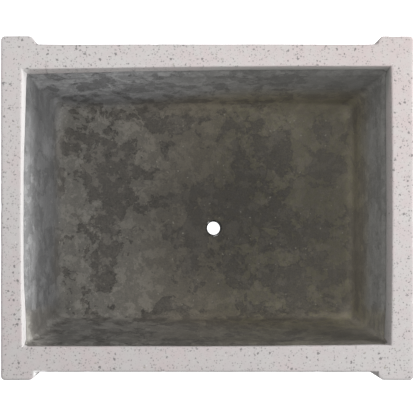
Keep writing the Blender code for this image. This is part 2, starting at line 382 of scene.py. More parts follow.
def outline():
    """A rectangle's outline, as places on the unit square and the pull of its corner radius on each."""
    places, pulls = [], []
    corners = (
        (1, -1, -90.0, SIDE_COUNT),
        (1, 1, 0.0, END_COUNT),
        (-1, 1, 90.0, SIDE_COUNT),
        (-1, -1, 180.0, END_COUNT),
    )
    last = np.array((-1.0, -1.0))
    for cx, cy, angle, count in corners:
        corner = np.array((cx, cy), float)
        along = (corner - last) / 2
        for i in range(count):
            t = i / count
            places.append(last + (corner - last) * t)
            pulls.append(along * (1 - 2 * t))
        for i in range(CORNER_STEPS):
            turn = math.radians(angle + 90.0 * i / CORNER_STEPS)
            places.append(corner)
            pulls.append(np.array((math.cos(turn) - cx, math.sin(turn) - cy)))
        last = corner
    return np.array(places), np.array(pulls)


def inside_ring(places, pulls, offset, radius, z):
    """A ring that stands in from the opening by an offset, with its corners rounded."""
    u, v = (places[:, 0] + 1) / 2, (places[:, 1] + 1) / 2
    at_x, at_y = places[:, 0] * HALF_OPENING_X, places[:, 1] * HALF_OPENING_Y
    left, right, front, rear = opening_sides(at_x, at_y, z)
    x = (left + offset) * (1 - u) + (right - offset) * u + radius * pulls[:, 0]
    y = (front + offset) * (1 - v) + (rear - offset) * v + radius * pulls[:, 1]
    return np.column_stack([x, y, z + np.zeros(len(x))])


# The coat's top edge: shares of the way along a wall, front to rear or left to right, and depths there
LEFT_EDGE = (
    (0.0, 0.0155), (0.08, 0.0145), (0.2, 0.0105), (0.3, 0.0085),
    (0.7, 0.0095), (0.88, 0.013), (1.0, 0.016),
)
RIGHT_EDGE = ((0.0, 0.0250), (0.03, 0.0242), (0.07, 0.0215), (0.12, 0.0190), (1.0, 0.0190))
REAR_EDGE = ((0.0, 0.0190), (0.06, 0.0170), (0.25, 0.0125), (1.0, 0.0105))
FRONT_EDGE = ((0.0, 0.0042), (1.0, 0.0042))
LEAST_EDGE_DEPTH = 0.0030
EDGE_OVERLAP = 0.0008


def coat_edge_depth(places):
    """How far below the rim the coat's brushed top edge runs, round the four walls."""
    u, v = (places[:, 0] + 1) / 2, (places[:, 1] + 1) / 2
    walls = ((v, LEFT_EDGE), (v, RIGHT_EDGE), (u, FRONT_EDGE), (u, REAR_EDGE))
    depths = np.stack([np.interp(share, *zip(*edge)) for share, edge in walls])
    away = np.stack([u, 1 - u, v, 1 - v]) * 2 * np.array([[HALF_OPENING_X]] * 2 + [[HALF_OPENING_Y]] * 2)
    weights = 1.0 / (away + 0.0006) ** 6
    depth = (depths * weights).sum(axis=0) / weights.sum(axis=0)
    at = places * np.array((HALF_OPENING_X, HALF_OPENING_Y))
    flat = np.column_stack([at, np.zeros(len(at))])
    wander = 0.0009 * noise_at(flat, 0.034, 11) + 0.0005 * noise_at(flat, 0.009, 12)
    return np.clip(depth + wander, LEAST_EDGE_DEPTH, HEIGHT - CORE_HIGH.z - EDGE_OVERLAP)


def grid_normals(rings):
    """Unit normals of a grid of rings, towards the inside of the trough."""
    around = np.roll(rings, -1, axis=1) - np.roll(rings, 1, axis=1)
    across = np.gradient(rings, axis=0)
    normal = np.cross(around, across)
    return normal / np.maximum(np.linalg.norm(normal, axis=2, keepdims=True), 1e-12)


def trowel_relief(rings, flatness):
    """The coat's relief: slow dips of the trowel, and brush ridges along the walls and the floor."""
    points = rings.reshape(-1, 3)
    flat = np.repeat(flatness, rings.shape[1])
    dips = 0.00042 * noise_at(points, 0.075, 21) + 0.00024 * noise_at(points, 0.026, 22)
    lumpy = noise_at(points, 0.013, 26) + 0.5 * noise_at(points, 0.006, 27)
    lumps = 0.00016 * smoothstep(-0.12, 0.12, lumpy)
    wall_brush = noise_at(points * np.array((0.06, 0.06, 1.0)), 0.0055, 23)
    floor_brush = noise_at(points * np.array((1.0, 0.09, 1.0)), 0.0070, 24)
    x, y = points[:, 0], points[:, 1]
    brushed = smoothstep(0.070, 0.130, x)
    ridge_x = -0.053 + 0.004 * np.sin(y / 0.045)
    ridge = 0.0007 * np.exp(-(((x - ridge_x) / 0.0035) ** 2)) * smoothstep(0.085, 0.060, np.abs(y + 0.010))
    on_wall = 0.00010 * (1 - flat) * wall_brush
    on_floor = flat * (0.00012 * brushed * floor_brush + ridge)
    relief = dips + lumps + on_wall + on_floor
    return relief.reshape(rings.shape[:2])


def build_coat():
    """The slurry coat: rings down the walls, round the fillet and over the floor to the drain."""
    places, pulls = outline()
    slope = math.atan(WALL_LEAN)
    wall_low = FLOOR_Z + FLOOR_FILLET * (1 - math.sin(slope))
    centre_offset = wall_offset(wall_low) + COAT_THICKNESS + FLOOR_FILLET * math.cos(slope)
    top = HEIGHT - coat_edge_depth(places)
    rings, flatness, skins = [], [], []
    for i in range(WALL_RINGS + 1):
        t = i / WALL_RINGS
        z = top + (wall_low - top) * t**1.15
        full = smoothstep(0.0, EDGE_TAPER, top - z)
        skin = COAT_EDGE_THICKNESS + (COAT_THICKNESS - COAT_EDGE_THICKNESS) * full
        corner = TOP_CORNER + (FOOT_CORNER - TOP_CORNER) * t
        rings.append(inside_ring(places, pulls, wall_offset(z) + skin, corner, z))
        flatness.append(0.0)
        skins.append(skin)
    for i in range(1, FILLET_RINGS + 1):
        t = i / FILLET_RINGS
        angle = slope + (math.pi / 2 - slope) * t
        offset = centre_offset - FLOOR_FILLET * math.cos(angle)
        z = FLOOR_Z + FLOOR_FILLET * (1 - math.sin(angle))
        corner = FOOT_CORNER + (FLOOR_CORNER - FOOT_CORNER) * t
        rings.append(inside_ring(places, pulls, offset, corner, z))
        flatness.append(t)
        skins.append(np.full(len(places), COAT_THICKNESS))
    edge = rings[-1][:, :2]
    spokes = edge - np.array(DRAIN)
    hole = np.array(DRAIN) + spokes / np.hypot(*spokes.T)[:, None] * (PIPE_RADIUS + GAP)
    for i in range(1, FLOOR_RINGS + 1):
        t = 1 - (1 - i / FLOOR_RINGS) ** 1.12
        place = edge + (hole - edge) * t
        rings.append(np.column_stack([place, np.full(len(place), FLOOR_Z)]))
        flatness.append(1.0)
        skins.append(np.full(len(places), COAT_THICKNESS))
    rings, skins = np.array(rings), np.array(skins)
    relief = trowel_relief(rings, np.array(flatness))
    relief *= smoothstep(0.0, 0.004, skins - COAT_EDGE_THICKNESS + 0.0012)
    from_drain = np.hypot(rings[:, :, 0] - DRAIN.x, rings[:, :, 1] - DRAIN.y)
    relief *= smoothstep(PIPE_RADIUS, PIPE_RADIUS + 0.014, from_drain)
    normals = grid_normals(rings)
    rings = rings + normals * relief[:, :, None]
    rings[:, :, 2] -= DISH_DEPTH * np.exp(-((from_drain / DISH_REACH) ** 2))
    back = rings - normals * (np.maximum(skins - 0.0004, 0.0002) + relief)[:, :, None]
    back = np.concatenate([back[::BACK_STEP], back[-1:]])
    return ring_mesh("brushed_lining", np.concatenate([rings, back[::-1]]), 50)


# ---------------------------------------------------------------- the drain pipe

PIPE_SIDES = 72
LIP_STEPS = 8


def build_pipe():
    """The short drain pipe, turned, with its top lip rounded and a slightly flared mouth below."""
    outer, inner = PIPE_RADIUS, PIPE_RADIUS - PIPE_WALL
    lip = 0.5 * PIPE_WALL
    profile = [(outer, SLEEVE_LOW.z), (outer, PIPE_TOP - 0.004), (outer, PIPE_TOP - lip)]
    for step in range(1, LIP_STEPS):
        turn = math.pi * step / LIP_STEPS
        profile.append((outer - lip + lip * math.cos(turn), PIPE_TOP - lip + lip * math.sin(turn)))
    profile += [(inner, PIPE_TOP - lip), (inner, PIPE_TOP - 0.004), (inner, 0.030), (inner, 0.0215)]
    profile += [(inner + 0.0005, SLEEVE_LOW.z)]
    turns = np.linspace(0.0, 2 * math.pi, PIPE_SIDES, endpoint=False)
    rings = []
    for radius, z in profile:
        x, y = DRAIN.x + radius * np.cos(turns), DRAIN.y + radius * np.sin(turns)
        rings.append(np.column_stack([x, y, np.full(PIPE_SIDES, z)]))
    return ring_mesh("drain_pipe", np.array(rings), 40)


coat = build_coat()
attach(coat, "root")
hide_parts("slurry_lining")

pipe = build_pipe()
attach(pipe, "root")
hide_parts("drain_sleeve")


# ---------------------------------------------------------------- materials


class Surface:
    """A node material in the making, with short names for the nodes that it uses."""

    def __init__(self, name, roughness=0.7, metallic=0.0, specular=0.5):
        self.material = bpy.data.materials.new(name)
        self.material.use_nodes = True
        self.tree = self.material.node_tree
        self.shader = self.tree.nodes["Principled BSDF"]
        self.shader.inputs["Roughness"].default_value = roughness
        self.shader.inputs["Metallic"].default_value = metallic
        self.shader.inputs["Specular IOR Level"].default_value = specular
        self.place = self.tree.nodes.new("ShaderNodeTexCoord").outputs["Object"]

    def add(self, kind, inputs=(), **settings):
        node = self.tree.nodes.new(kind)
        for name, value in settings.items():
            setattr(node, name, value)
        for key, value in dict(inputs).items():
            self.put(node.inputs[key], value)
        return node

    def put(self, socket, value):
        if isinstance(value, bpy.types.NodeSocket):
            self.tree.links.new(value, socket)
        elif hasattr(value, "__len__") and len(value) == 3 and socket.type == "RGBA":
            socket.default_value = (*value, 1.0)
        else:
            socket.default_value = value

    def math(self, operation, a, b=0.0, c=0.0):
        node = self.add("ShaderNodeMath", {0: a, 1: b, 2: c}, operation=operation)
        return node.outputs[0]

    def times(self, a, b):
        return self.math("MULTIPLY", a, b)

    def plus(self, a, b):
        return self.math("ADD", a, b)

    def minus(self, a, b):
        return self.math("SUBTRACT", a, b)

    def times_plus(self, a, b, c):
        """The product of two numbers, plus a third."""
        return self.math("MULTIPLY_ADD", a, b, c)

    def most(self, a, *others):
        """The largest of several numbers."""
        for other in others:
            a = self.math("MAXIMUM", a, other)
        return a

    def absolute(self, a):
        return self.math("ABSOLUTE", a)

    def squared(self, a):
        return self.math("POWER", a, 2.0)

    def span(self, a, b):
        """The length of a step of a along one axis and b along another."""
        return self.math("POWER", self.plus(self.squared(a), self.squared(b)), 0.5)

    def axes(self):
        """The object's x, y and z in metres."""
        return self.add("ShaderNodeSeparateXYZ", {0: self.place}).outputs[:3]

    def ramp(self, value, low, high, to_low=0.0, to_high=1.0):
        """A value eased from one range to another, and held at its ends."""
        node = self.add(
            "ShaderNodeMapRange",
            {"Value": value, "From Min": low, "From Max": high, "To Min": to_low, "To Max": to_high},
            interpolation_type="SMOOTHSTEP",
        )
        return node.outputs["Result"]

    def mix(self, factor, a, b, blend="MIX"):
        node = self.add("ShaderNodeMix", data_type="RGBA", blend_type=blend)
        self.put(node.inputs[0], factor)
        self.put(node.inputs[6], a)
        self.put(node.inputs[7], b)
        return node.outputs[2]

    def shaded(self, color, shade):
        """A colour multiplied by another."""
        return self.mix(1.0, color, shade, "MULTIPLY")

    def blend(self, factor, a, b):
        """A plain number between two others."""
        return self.add("ShaderNodeMix", {0: factor, 2: a, 3: b}).outputs[0]

    def stretched(self, scale, shift=(0, 0, 0), vector=None):
        inputs = {"Vector": vector or self.place, "Scale": scale, "Location": shift}
        return self.add("ShaderNodeMapping", inputs).outputs[0]

    def noise(self, size, detail=3.0, rough=0.55, vector=None, distortion=0.0):
        """Noise with features of a given size in metres; its value is centred on a half."""
        node = self.add(
            "ShaderNodeTexNoise",
            {
                "Vector": vector or self.place,
                "Scale": 1.0 / size,
                "Detail": detail,
                "Roughness": rough,
                "Distortion": distortion,
            },
        )
        return node.outputs["Fac"]

    def warped(self, size, amount, vector=None):
        """Coordinates pushed about by noise, to make round shapes irregular."""
        place = vector or self.place
        node = self.add("ShaderNodeTexNoise", {"Vector": place, "Scale": 1.0 / size, "Detail": 2.0})
        around_half = {0: node.outputs["Color"], 1: (0.5, 0.5, 0.5)}
        centred = self.add("ShaderNodeVectorMath", around_half, operation="SUBTRACT").outputs[0]
        push = self.add("ShaderNodeVectorMath", {0: centred, "Scale": amount}, operation="SCALE").outputs[0]
        return self.add("ShaderNodeVectorMath", {0: place, 1: push}, operation="ADD").outputs[0]

    def cells(self, size, vector=None, feature="F1"):
        """Voronoi cells of a given size: distance in metres from each cell's seed, and its random colour."""
        inputs = {"Vector": vector or self.place, "Scale": 1.0 / size}
        node = self.add("ShaderNodeTexVoronoi", inputs, feature=feature)
        distance = self.times(node.outputs["Distance"], size)
        return distance, node.outputs["Color"]

    def channels(self, color):
        node = self.add("ShaderNodeSeparateColor", {"Color": color})
        return node.outputs[0], node.outputs[1], node.outputs[2]

    def chips(self, size, largest, share, warp, patchy=None):
        """Scattered irregular grains: a mask of them, and a random number for each grain's colour.

        Of the cells of a given size, a share holds a grain, with a radius up to the largest.
        """
        distance, color = self.cells(size, self.warped(size * 0.45, size * warp))
        chance, width, tint = self.channels(color)
        if patchy is not None:
            chance = self.plus(chance, patchy)
        radius = self.times(self.ramp(width, 0.0, 1.0, 0.35, 1.0), largest)
        inside = self.minus(radius, distance)
        mask = self.ramp(inside, -0.00012, 0.00022)
        present = self.math("GREATER_THAN", chance, 1.0 - share)
        return self.times(mask, present), tint

    def bump(self, height, distance, strength=1.0, under=None):
        node = self.add("ShaderNodeBump", {"Height": height, "Distance": distance, "Strength": strength})
        if under is not None:
            self.put(node.inputs["Normal"], under)
        return node.outputs["Normal"]

    def finish(self, color, roughness=None, normal=None):
        self.put(self.shader.inputs["Base Color"], color)
        if roughness is not None:
            self.put(self.shader.inputs["Roughness"], roughness)
        if normal is not None:
            self.put(self.shader.inputs["Normal"], normal)
        return self.material


# The terrazzo's colours: its cement, its chips from dark to light, what has marked it, a pinker, darker tint
# at the rear right, and painted light: shade on the front and outer arrises, highlights on the left lip and a
# pilaster's edge, shade in the lip's slurry
ROSY, NEUTRAL, PALE = (0.560, 0.497, 0.495), (0.543, 0.511, 0.507), (0.549, 0.535, 0.521)
LARGE_DARK, LARGE_LIGHT, LARGE_TAN = (0.180, 0.172, 0.168), (0.370, 0.350, 0.332), (0.350, 0.330, 0.290)
SMALL_DARK, SMALL_LIGHT, SMALL_WHITE = (0.240, 0.229, 0.223), (0.440, 0.415, 0.396), (0.690, 0.670, 0.655)
FINES_DARK, FINES_LIGHT = (0.290, 0.276, 0.268), (0.560, 0.532, 0.518)
SAND_SHADE, PAINTED_FRONT_SHADE, REAR_RIGHT_SHADE = (0.78, 0.76, 0.75), (0.62, 0.62, 0.63), (0.930, 0.905, 0.900)
PIT, CRACKED, PAINTED_EDGE_HIGHLIGHT = (0.150, 0.142, 0.136), (0.220, 0.205, 0.195), (0.940, 0.930, 0.920)
PAINTED_LIP_HIGHLIGHT, SMEAR_AND_PAINTED_SHADE, PAINTED_ARRIS_SHADE = (0.760, 0.745, 0.740), (0.300, 0.300, 0.284), (0.200, 0.193, 0.188)


def terrazzo_cement(s, x, y, sand):
    """The cement between the chips: two pinkish greys in clouds, with paler drifts and dark sand."""
    clouds = s.ramp(s.noise(0.070, 3.0), 0.36, 0.64)
    drift = s.ramp(s.noise(0.014, 4.0, vector=s.stretched((1, 1, 1), (3.1, 1.7, 0.4))), 0.40, 0.66)
    flush = s.times(clouds, s.ramp(s.plus(x, y), -0.05, 0.30, 1.0, 0.25))
    cement = s.mix(s.times(drift, 0.75), s.mix(flush, ROSY, NEUTRAL), PALE)
    return s.mix(s.ramp(sand, 0.30, 0.70, 0.0, 0.20), cement, s.shaded(cement, SAND_SHADE))


def add_chips(s, color):
    """Stone chips of three sizes laid over a colour, and a mask of the two larger sizes."""
    patchy = s.times(s.minus(s.noise(0.024, 3.0), 0.5), 1.2)
    large, large_tint = s.chips(0.0056, 0.0016, 0.48, 0.7, patchy)
    small, small_tint = s.chips(0.0028, 0.00105, 0.74, 0.7, patchy)
    fines, fines_tint = s.chips(0.0018, 0.00070, 0.74, 0.6)
    large_color = s.mix(s.ramp(large_tint, 0.15, 0.85), LARGE_DARK, LARGE_LIGHT)
    large_color = s.mix(s.ramp(large_tint, 0.86, 0.90), large_color, LARGE_TAN)
    small_color = s.mix(s.ramp(small_tint, 0.1, 0.9), SMALL_DARK, SMALL_LIGHT)
    small_color = s.mix(s.ramp(small_tint, 0.93, 0.95), small_color, SMALL_WHITE)
    fines_color = s.mix(s.ramp(fines_tint, 0.2, 0.8), FINES_DARK, FINES_LIGHT)
    color = s.mix(s.times(fines, 0.70), color, fines_color)
    color = s.mix(s.times(small, 0.80), color, small_color)
    color = s.mix(s.times(large, 0.86), color, large_color)
    return color, s.most(large, small)


def paint_lip_light_and_smear(s, color, x, y, z):
    """The lip: a painted highlight on the left, where it faces the light, and slurry smeared towards the coat
    on the rest, deepened by painted shade towards the right and along the rear.
    """
    lip = s.ramp(s.absolute(x), 0.2190, 0.2200, 1.0, 0.0)
    lip = s.times(lip, s.ramp(s.absolute(y), 0.1700, 0.1720, 1.0, 0.0))
    lip = s.times(lip, s.ramp(z, 0.1783, 0.1797, 1.0, 0.0))
    # Painted highlight: the left lip paler, where it faces the light
    color = s.mix(s.times(lip, s.ramp(x, -0.2125, -0.2060, 0.70, 0.0)), color, PAINTED_LIP_HIGHLIGHT)
    # Slurry smeared over the lip, with painted shade: stronger towards the right and strongest along the rear
    # lip
    smear_and_shade = s.times(s.ramp(x, -0.120, 0.080), s.ramp(z, 0.154, 0.178, 0.75, 0.10))
    smear_and_shade = s.times(smear_and_shade, s.ramp(y, -0.156, -0.150))
    rear_smear_and_shade = s.ramp(x, -0.050, 0.120, 2.4, 4.0)
    smear_and_shade = s.times(smear_and_shade, s.blend(s.ramp(y, 0.120, 0.160), 1.0, rear_smear_and_shade))
    return s.mix(s.times(lip, smear_and_shade), color, SMEAR_AND_PAINTED_SHADE)


def paint_arris_shade(s, color, x, y, z):
    """Painted shade along the outer arrises, most at the front and the left, which face away from the light.
    """
    across, along = s.absolute(x), s.absolute(y)
    ends = s.ramp(across, 0.2378, 0.2396)
    posts = s.ramp(along, 0.1978, 0.1996)
    walls = s.times(s.ramp(along, 0.1888, 0.1901), s.ramp(across, 0.1985, 0.2000, 1.0, 0.0))
    outer = s.times(s.most(ends, posts, walls), s.ramp(z, 0.1745, 0.1775))
    # Painted shade, strongest on the front and left arrises, which face away from the light
    painted_shade = s.ramp(s.times_plus(x, 0.6, y), -0.10, 0.12, 0.62, 0.12)
    return s.mix(s.times(outer, painted_shade), color, PAINTED_ARRIS_SHADE)


def paint_pilaster_highlight(s, color, x, y, z):
    """A painted highlight on the inner edge of the front left pilaster, where light catches it."""
    # Painted highlight where light catches the inner edge of the front left pilaster, near the rim
    edge_highlight = s.times(s.ramp(x, -0.2035, -0.2010), s.ramp(x, -0.1900, -0.1850, 1.0, 0.0))
    edge = s.times(s.ramp(y, -0.1905, -0.1880, 1.0, 0.0), s.ramp(z, 0.158, 0.167))
    return s.mix(s.times(s.times(edge_highlight, edge), 0.85), color, PAINTED_EDGE_HIGHLIGHT)


def crack_mask(s, x, y):
    """A hair crack across the rear of the rim, near its left end."""
    drifted = s.times_plus(s.noise(0.006, 3.0), 0.0024, x)
    crack = s.ramp(s.absolute(s.plus(drifted, 0.1864)), 0.0001, 0.0005, 1.0, 0.0)
    crack = s.times(crack, s.ramp(y, 0.1685, 0.1730, 1.0, 0.0))
    return s.times(crack, s.ramp(y, 0.150, 0.158))


def terrazzo_material():
    """Pale pinkish cement thick with small grey and tan stone chips, washed and slightly pitted."""
    s = Surface("terrazzo_surface", specular=0.4)
    x, y, z = s.axes()
    sand = s.noise(0.0011, 2.0, 0.6)
    color, stone = add_chips(s, terrazzo_cement(s, x, y, sand))
    pits = s.chips(0.0150, 0.0008, 0.50, 0.3)[0]
    color = s.mix(s.times(pits, 0.75), color, PIT)
    # Painted shade: the casting darker towards the front
    color = s.mix(s.ramp(y, -0.19, 0.19, 0.31, 0.0), color, s.shaded(color, PAINTED_FRONT_SHADE))
    color = s.mix(s.ramp(s.plus(x, y), 0.16, 0.40), color, s.shaded(color, REAR_RIGHT_SHADE))
    color = paint_lip_light_and_smear(s, color, x, y, z)
    color = paint_arris_shade(s, color, x, y, z)
    color = paint_pilaster_highlight(s, color, x, y, z)
    crack = crack_mask(s, x, y)
    color = s.mix(s.times(crack, 0.55), color, CRACKED)
    height = s.times_plus(stone, 0.25, s.times(sand, 0.35))
    height = s.minus(height, s.times(s.most(pits, crack), 1.2))
    return s.finish(color, s.ramp(stone, 0.0, 1.0, 0.78, 0.50), s.bump(height, 0.00028, 0.8))


# Stains left where the slurry dried thick or thin: centre, half size and strength, light being positive
STAINS = (
    (-0.122, 0.036, 0.030, 0.048, -0.12),
    (0.088, 0.080, 0.026, 0.022, -0.12),
    (-0.128, -0.079, 0.017, 0.028, -0.13),
    (0.100, -0.088, 0.032, 0.024, -0.09),
    (0.124, -0.114, 0.018, 0.015, -0.11),
    (0.030, -0.005, 0.055, 0.062, -0.06),
    (-0.088, -0.080, 0.036, 0.044, 0.12),
    (-0.160, -0.020, 0.026, 0.070, 0.06),
    (0.000, 0.075, 0.080, 0.030, 0.05),
    (0.010, -0.108, 0.110, 0.016, 0.07),
)


# How the floor's paleness, partly painted light, changes from left to right: two places and the factor at
# each
FLOOR_FADES = (
    (-0.180, -0.150, 0.84, 1.0),
    (-0.100, -0.050, 1.07, 1.0),
    (0.050, 0.100, 1.0, 1.09),
    (0.115, 0.165, 1.0, 0.86),
)

# The coat's hues, a painted cool skylight tint for the walls, and its grains
LEFT_BROWN, RIGHT_BROWN, THICK_BROWN = (1.060, 1.000, 0.880), (1.130, 1.000, 0.780), (1.110, 1.000, 0.860)
OLIVE, LEFT_SKYLIGHT_TINT, RIGHT_SKYLIGHT_TINT = (1.080, 1.000, 0.700), (0.996, 0.998, 1.006), (1.015, 1.000, 0.950)
SPECK_DARK, SPECK_LIGHT, CRUMB = (0.200, 0.190, 0.145), (0.380, 0.365, 0.320), (0.045, 0.041, 0.035)


class CoatZones:
    """The coat's coordinates, plain and wandering a little, and masks of its four walls."""

    def __init__(self, s):
        self.x, self.y, self.z = s.axes()
        self.wander = s.minus(s.noise(0.036, 5.0, 0.6), 0.5)
        sway = s.times(self.wander, 0.055)
        self.x_near, self.y_near, self.z_near = (s.plus(axis, sway) for axis in (self.x, self.y, self.z))
        self.x_edge, self.y_edge = (s.times_plus(sway, 0.3, axis) for axis in (self.x, self.y))
        rise = s.ramp(s.times_plus(sway, 0.12, self.z), 0.0425, 0.0540)
        from_end = s.minus(HALF_OPENING_X, s.absolute(self.x_edge))
        from_side = s.minus(HALF_OPENING_Y, s.absolute(self.y_edge))
        end_wall = s.times(rise, s.ramp(s.minus(from_side, from_end), -0.007, 0.005))
        self.left = s.times(s.ramp(self.x_edge, -0.184, -0.164, 1.0, 0.0), end_wall)
        self.right = s.times(s.ramp(self.x_edge, 0.164, 0.184), end_wall)
        self.front = s.times(s.ramp(self.y_edge, -0.131, -0.111, 1.0, 0.0), rise)
        self.rear = s.times(s.ramp(self.y_edge, 0.111, 0.131), rise)
        self.walls = s.most(self.left, self.right, self.front, self.rear)


def floor_paleness_and_painted_light(s, at):
    """How pale the coat is on the floor, partly its own tone and partly painted light that lightens it
    towards the walls: darkest right of the middle.
    """
    across = s.math("DIVIDE", s.minus(at.x_near, 0.035), 0.165)
    along = s.math("DIVIDE", at.y_near, 0.115)
    pale = s.ramp(s.span(across, along), 0.30, 1.35, 0.066, 0.112)
    for low, high, to_low, to_high in FLOOR_FADES:
        pale = s.times(pale, s.ramp(at.x_near, low, high, to_low, to_high))
    return pale


def wall_paleness_and_painted_light(s, at):
    """How pale the coat is on each wall: front, rear, left and right, partly the walls' own paler tone and
    partly painted light and shade.
    """
    # Painted light and shade on the front wall: darker towards its top, paler towards both ends
    front = s.times(s.ramp(at.z_near, 0.060, 0.170, 0.165, 0.092), s.ramp(at.x_near, 0.060, 0.140, 1.0, 1.25))
    front = s.times(front, s.ramp(at.x_near, 0.150, 0.195, 1.0, 1.45))
    left_end = s.ramp(at.x_edge, -0.206, -0.172, 2.40, 1.0)
    front = s.times(front, s.blend(s.ramp(at.z_near, 0.090, 0.128), 1.0, left_end))

    # Painted light on the rear wall: paler at its left, most higher up, and a little darker near the top
    left_part = s.ramp(at.z_near, 0.060, 0.125, 0.178, 0.308)
    right_part = s.ramp(at.z_near, 0.045, 0.095, 0.156, 0.195)
    rear = s.blend(s.ramp(at.x_near, -0.120, 0.080, 1.0, 0.0), right_part, left_part)
    rear = s.times(rear, s.ramp(at.z_near, 0.138, 0.165, 1.0, 0.84))

    # Painted light and shade on the left wall: paler low in its rear corner, darker higher up there and at
    # its foot
    front_part = s.times(s.ramp(at.z_near, 0.112, 0.138, 0.95, 1.10), s.ramp(at.z, 0.045, 0.075, 0.84, 1.0))
    rear_part = s.ramp(at.z_near, 0.090, 0.140, 1.25, 0.70)
    left = s.blend(s.ramp(at.y_near, 0.050, 0.082), front_part, rear_part)
    # Painted light: the top of the left wall paler, where the light falls on it
    left = s.times(left, s.ramp(at.z_near, 0.128, 0.176, 0.142, 0.280))

    # Painted light: the right wall paler higher up, where it lies in shade
    right = s.ramp(at.z_near, 0.050, 0.125, 0.172, 0.235)
    right = s.times(right, s.ramp(at.z_near, 0.140, 0.165, 1.0, 0.90))
    return front, rear, left, right


def coat_paleness_and_painted_light(s, at):
    """How pale the coat is all over, its own tone with painted light and shade, and painted shade in the
    front left corner.
    """
    pale = floor_paleness_and_painted_light(s, at)
    masks = (at.front, at.rear, at.left, at.right)
    for mask, wall in zip(masks, wall_paleness_and_painted_light(s, at)):
        pale = s.blend(mask, pale, wall)
    # Painted shade in the front left corner, where the floor meets the walls
    from_corner = s.span(s.plus(at.x_edge, 0.181), s.plus(at.y_edge, 0.123))
    return s.times(pale, s.ramp(from_corner, 0.003, 0.019, 0.60, 1.0))


def stain_bias(s, at):
    """How much the stains push the slurry towards thin or thick."""
    bias = 0.0
    for stain_x, stain_y, half_x, half_y, strength in STAINS:
        u = s.squared(s.math("DIVIDE", s.minus(at.x, stain_x), half_x))
        v = s.squared(s.math("DIVIDE", s.minus(at.y, stain_y), half_y))
        bias = s.plus(bias, s.ramp(s.plus(u, v), 0.2, 1.6, strength, 0.0))
    return bias


def coat_tone(s, at, coarse, patches, mottle):
    """Light and dark marks: patches and their dark rims, spots, blobs, veins and grit."""
    medium = s.noise(0.015, 8.0, 0.66, vector=s.stretched((1, 1, 1), (0.7, 2.3, 1.9)))
    spots = s.ramp(medium, 0.520, 0.536)
    blobs = s.chips(0.0190, 0.0056, 0.30, 0.8)[0]
    dabs = s.chips(0.0150, 0.0040, 0.30, 1.2)[0]
    rims = s.ramp(s.absolute(s.minus(coarse, 0.478)), 0.0, 0.010, 1.0, 0.0)
    tone = s.times(s.minus(patches, 0.5), 0.30)
    for mark, strength in ((s.minus(spots, 0.4), 0.24), (blobs, 0.13), (dabs, -0.15), (rims, -0.16)):
        tone = s.times_plus(mark, strength, tone)
    tone = s.times(tone, s.ramp(at.x_near, -0.090, -0.020, 1.50, 1.0))

    veins = s.absolute(s.minus(s.noise(0.024, 5.0, 0.6, distortion=0.8), 0.5))
    veins = s.times(s.ramp(veins, 0.0, 0.009, 1.0, 0.0), s.ramp(at.wander, -0.02, 0.06))
    grit = s.ramp(s.noise(0.0019, 3.0, 0.65), 0.34, 0.66, -1.0, 1.0)
    for mark, strength in ((s.minus(mottle, 0.5), 0.26), (veins, -0.20), (grit, 0.11)):
        tone = s.times_plus(mark, strength, tone)

    calm = s.times(s.ramp(at.walls, 0.0, 1.0, 1.0, 0.85), s.ramp(at.left, 0.0, 1.0, 1.0, 0.62))
    calm = s.times(calm, s.ramp(at.x_near, 0.100, 0.150, 1.0, 0.66))
    return s.times_plus(tone, calm, 1.0)


def brush_strokes(s, at):
    """Strokes that run level along the walls, and front to rear at the right of the floor."""
    wall_brush = s.noise(0.0032, 3.0, 0.6, vector=s.stretched((0.045, 0.045, 1.0)))
    floor_brush = s.noise(0.0045, 3.0, 0.6, vector=s.stretched((1.0, 0.055, 1.0)))
    floor_share = s.ramp(at.x_near, 0.070, 0.140, 0.06, 0.30)
    wall_share = s.ramp(s.noise(0.030, 2.0), 0.35, 0.65, 0.12, 0.50)
    wall_share = s.times(wall_share, s.ramp(at.front, 0.0, 1.0, 1.0, 0.25))
    on_floor = s.times(s.minus(floor_brush, 0.5), floor_share)
    on_wall = s.times(s.minus(wall_brush, 0.5), wall_share)
    return s.blend(at.walls, on_floor, on_wall)


def coat_tint(s, at, patches, mottle):
    """The coat's hue: brown, olive at the right of the floor, and cooler up the walls, where a painted tint
    stands in for cool skylight.
    """
    brown = s.mix(s.ramp(at.x_near, -0.150, 0.010), LEFT_BROWN, RIGHT_BROWN)
    olive = s.times(s.ramp(at.x_near, -0.020, 0.060), s.ramp(mottle, 0.3, 0.8))
    brown = s.mix(olive, brown, OLIVE)
    brown = s.mix(s.times(s.minus(1.0, patches), 0.6), brown, THICK_BROWN)
    # Painted cool skylight, higher up the walls and less on the front wall
    cool_height = s.plus(at.z_near, s.ramp(at.x_near, -0.120, 0.080, 0.018, -0.028))
    cool_skylight = s.times(s.ramp(cool_height, 0.045, 0.100), s.ramp(at.front, 0.0, 1.0, 1.0, 0.35))
    cool = s.mix(s.ramp(at.x_near, -0.120, 0.080), LEFT_SKYLIGHT_TINT, RIGHT_SKYLIGHT_TINT)
    return s.mix(s.times(at.walls, cool_skylight), brown, cool)


